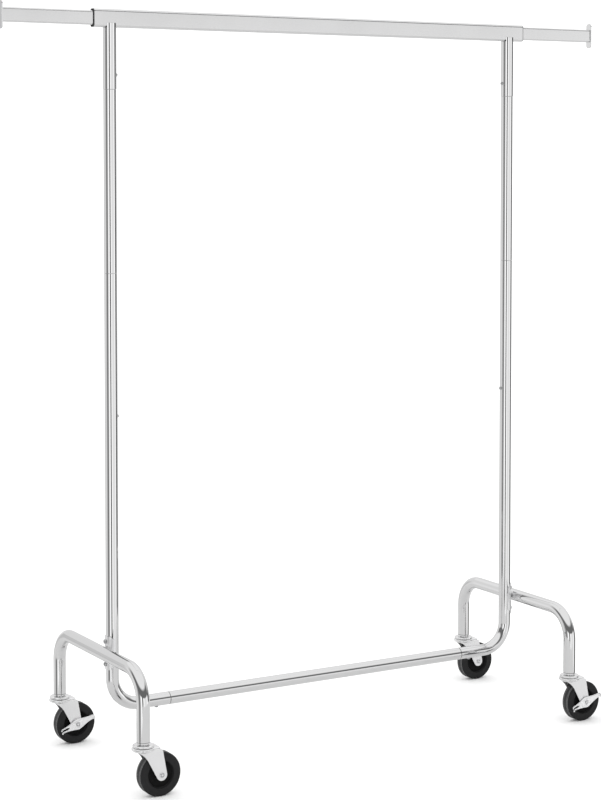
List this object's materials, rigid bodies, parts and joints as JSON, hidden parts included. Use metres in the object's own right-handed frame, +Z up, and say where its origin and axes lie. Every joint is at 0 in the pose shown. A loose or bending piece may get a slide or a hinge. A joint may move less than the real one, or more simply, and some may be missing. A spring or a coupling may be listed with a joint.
{
  "type": "rolling clothes rack",
  "caption": "Rolling clothes rack of chromed steel tube, with a rectangular hang rail, sliding end rods, U-shaped side bases and swivel casters, some with brakes.",
  "frame": {"origin": "on the floor, midway between the two posts and between the front and rear legs", "axes": "+X along the hang rail to the right, +Y to the rear, +Z up"},
  "size_m": [1.6526, 0.5184, 1.77],
  "materials": {
    "chromed_steel": "bright chrome plate over welded steel tube",
    "zinc_steel": "bright zinc plate over pressed steel",
    "plated_fasteners": "plated screws and bolts with domed heads",
    "black_rubber": "hard black rubber, satin, moulded",
    "black_plastic": "black moulded nylon"
  },
  "bodies": {
    "frame": {"rail_tube": "chromed_steel", "bottom_rail": "chromed_steel", "left_rail_stub": "chromed_steel", "left_upper_post": "chromed_steel", "left_inner_sleeve": "zinc_steel", "left_corner_tube": "chromed_steel", "left_saddle_plate": "chromed_steel", "left_stub_screw": "plated_fasteners", "left_mid_screw": "plated_fasteners", "left_bottom_rail_screw": "plated_fasteners", "left_saddle_bolt_lower": "plated_fasteners", "left_saddle_bolt_upper": "plated_fasteners", "left_rail_bushing": "black_plastic", "left_side_base": "chromed_steel", "right_rail_stub": "chromed_steel", "right_upper_post": "chromed_steel", "right_inner_sleeve": "zinc_steel", "right_corner_tube": "chromed_steel", "right_saddle_plate": "chromed_steel", "right_stub_screw": "plated_fasteners", "right_mid_screw": "plated_fasteners", "right_bottom_rail_screw": "plated_fasteners", "right_saddle_bolt_lower": "plated_fasteners", "right_saddle_bolt_upper": "plated_fasteners", "right_rail_bushing": "black_plastic", "right_side_base": "chromed_steel", "front_left_leg_socket": "black_plastic", "front_left_caster_seat": "zinc_steel", "rear_left_leg_socket": "black_plastic", "rear_left_caster_seat": "zinc_steel", "front_right_leg_socket": "black_plastic", "front_right_caster_seat": "zinc_steel", "rear_right_leg_socket": "black_plastic", "rear_right_caster_seat": "zinc_steel"},
    "left_rod": {"left_extension_rod": "chromed_steel", "left_end_plate": "chromed_steel", "left_rod_guide": "black_plastic"},
    "right_rod": {"right_extension_rod": "chromed_steel", "right_end_plate": "chromed_steel", "right_rod_guide": "black_plastic"},
    "front_left_caster": {"front_left_fork": "zinc_steel", "front_left_axle": "zinc_steel"},
    "front_left_roller": {"front_left_wheel": "black_rubber", "front_left_hub_bush": "black_plastic"},
    "rear_left_caster": {"rear_left_fork": "zinc_steel", "rear_left_axle": "zinc_steel", "rear_left_ramp_washer": "zinc_steel"},
    "rear_left_roller": {"rear_left_wheel": "black_rubber", "rear_left_hub_bush": "black_plastic"},
    "rear_left_brake": {"rear_left_brake_lever": "zinc_steel"},
    "front_right_caster": {"front_right_fork": "zinc_steel", "front_right_axle": "zinc_steel", "front_right_ramp_washer": "zinc_steel"},
    "front_right_roller": {"front_right_wheel": "black_rubber", "front_right_hub_bush": "black_plastic"},
    "front_right_brake": {"front_right_brake_lever": "zinc_steel"},
    "rear_right_caster": {"rear_right_fork": "zinc_steel", "rear_right_axle": "zinc_steel"},
    "rear_right_roller": {"rear_right_wheel": "black_rubber", "rear_right_hub_bush": "black_plastic"}
  },
  "joints": [
    {"name": "left_rod_slide", "type": "slide", "parent": "frame", "child": "left_rod", "axis": [-1, 0, 0], "range_m": [-0.219, 0]},
    {"name": "right_rod_slide", "type": "slide", "parent": "frame", "child": "right_rod", "axis": [1, 0, 0], "range_m": [-0.219, 0]},
    {"name": "front_left_swivel", "type": "hinge", "parent": "frame", "child": "front_left_caster", "pos_m": [-0.5928, -0.232, 0.11], "axis": [0, 0, 1], "continuous": true},
    {"name": "front_left_wheel_spin", "type": "hinge", "parent": "front_left_caster", "child": "front_left_roller", "pos_m": [-0.5558, -0.232, 0.05], "axis": [0, 1, 0], "continuous": true},
    {"name": "rear_left_swivel", "type": "hinge", "parent": "frame", "child": "rear_left_caster", "pos_m": [-0.5928, 0.232, 0.11], "axis": [0, 0, 1], "continuous": true},
    {"name": "rear_left_wheel_spin", "type": "hinge", "parent": "rear_left_caster", "child": "rear_left_roller", "pos_m": [-0.5558, 0.232, 0.05], "axis": [0, 1, 0], "continuous": true},
    {"name": "rear_left_brake_rock", "type": "hinge", "parent": "rear_left_caster", "child": "rear_left_brake", "pos_m": [-0.5558, 0.232, 0.05], "axis": [0, 1, 0], "range_deg": [0, 36]},
    {"name": "front_right_swivel", "type": "hinge", "parent": "frame", "child": "front_right_caster", "pos_m": [0.5928, -0.232, 0.11], "axis": [0, 0, 1], "continuous": true},
    {"name": "front_right_wheel_spin", "type": "hinge", "parent": "front_right_caster", "child": "front_right_roller", "pos_m": [0.6298, -0.232, 0.05], "axis": [0, 1, 0], "continuous": true},
    {"name": "front_right_brake_rock", "type": "hinge", "parent": "front_right_caster", "child": "front_right_brake", "pos_m": [0.6298, -0.232, 0.05], "axis": [0, 1, 0], "range_deg": [0, 36]},
    {"name": "rear_right_swivel", "type": "hinge", "parent": "frame", "child": "rear_right_caster", "pos_m": [0.5928, 0.232, 0.11], "axis": [0, 0, 1], "continuous": true},
    {"name": "rear_right_wheel_spin", "type": "hinge", "parent": "rear_right_caster", "child": "rear_right_roller", "pos_m": [0.6298, 0.232, 0.05], "axis": [0, 1, 0], "continuous": true}
  ]
}
